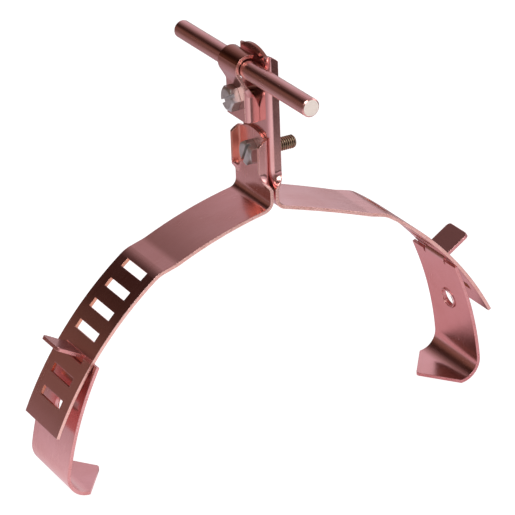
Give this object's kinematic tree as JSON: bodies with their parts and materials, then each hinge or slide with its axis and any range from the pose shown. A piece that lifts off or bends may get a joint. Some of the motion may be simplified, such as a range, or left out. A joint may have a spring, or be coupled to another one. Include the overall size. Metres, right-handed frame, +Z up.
{
  "type": "roof conductor holder",
  "caption": "Ridge roof holder for a round lightning conductor: arched slotted copper arms joined back to back, hooked clamp on top, leg with pointed claw at each end.",
  "frame": {"origin": "on the ground under mid span, where the backs of the two arms meet", "axes": "+X along the span to the arm with the long upright, +Y along the conductor, +Z up"},
  "size_m": [0.2152, 0.109, 0.1763],
  "materials": {
    "arm_copper": "bare copper strip, faintly rolled, satin",
    "leg_copper": "bare copper strip, satin",
    "clamp_copper": "pressed copper, satin",
    "rod_copper": "drawn copper rod with a sawn bright end",
    "screw_steel": "stainless steel with a bright turned head"
  },
  "bodies": {
    "right_side": {"right_arm": "arm_copper", "conductor_rod": "rod_copper"},
    "left_side": {"left_arm": "arm_copper"},
    "left_leg_body": {"left_leg": "leg_copper"},
    "right_leg_body": {"right_leg": "leg_copper"},
    "clamp": {"clamp_plate": "clamp_copper"},
    "clamp_screw_body": {"clamp_screw": "screw_steel"},
    "closing_screw_body": {"closing_screw": "screw_steel"}
  },
  "joints": [
    {"name": "arm_opening", "type": "hinge", "parent": "right_side", "child": "left_side", "pos_m": [-0.00005, 0, 0.1398], "axis": [0, 1, 0], "range_deg": [0, 6]},
    {"name": "closing_screw_travel", "type": "slide", "parent": "right_side", "child": "closing_screw_body", "axis": [-1, 0, 0], "range_m": [0, 0.0018]},
    {"name": "clamp_travel", "type": "slide", "parent": "right_side", "child": "clamp", "axis": [-1, 0, 0], "range_m": [0, 0.007]},
    {"name": "clamp_screw_travel", "type": "slide", "parent": "right_side", "child": "clamp_screw_body", "axis": [-1, 0, 0], "range_m": [0, 0.007]},
    {"name": "left_leg_swing", "type": "hinge", "parent": "left_side", "child": "left_leg_body", "pos_m": [-0.08775, 0, 0.05911], "axis": [0, 1, 0], "range_deg": [-8, 0]},
    {"name": "right_leg_swing", "type": "hinge", "parent": "right_side", "child": "right_leg_body", "pos_m": [0.08897, 0, 0.05831], "axis": [0, -1, 0], "range_deg": [-8, 0]}
  ],
  "couplings": [
    {"joint": "closing_screw_travel", "follows": "arm_opening", "m_per_rad": 0.01677},
    {"joint": "clamp_screw_travel", "follows": "clamp_travel", "ratio": 1}
  ]
}
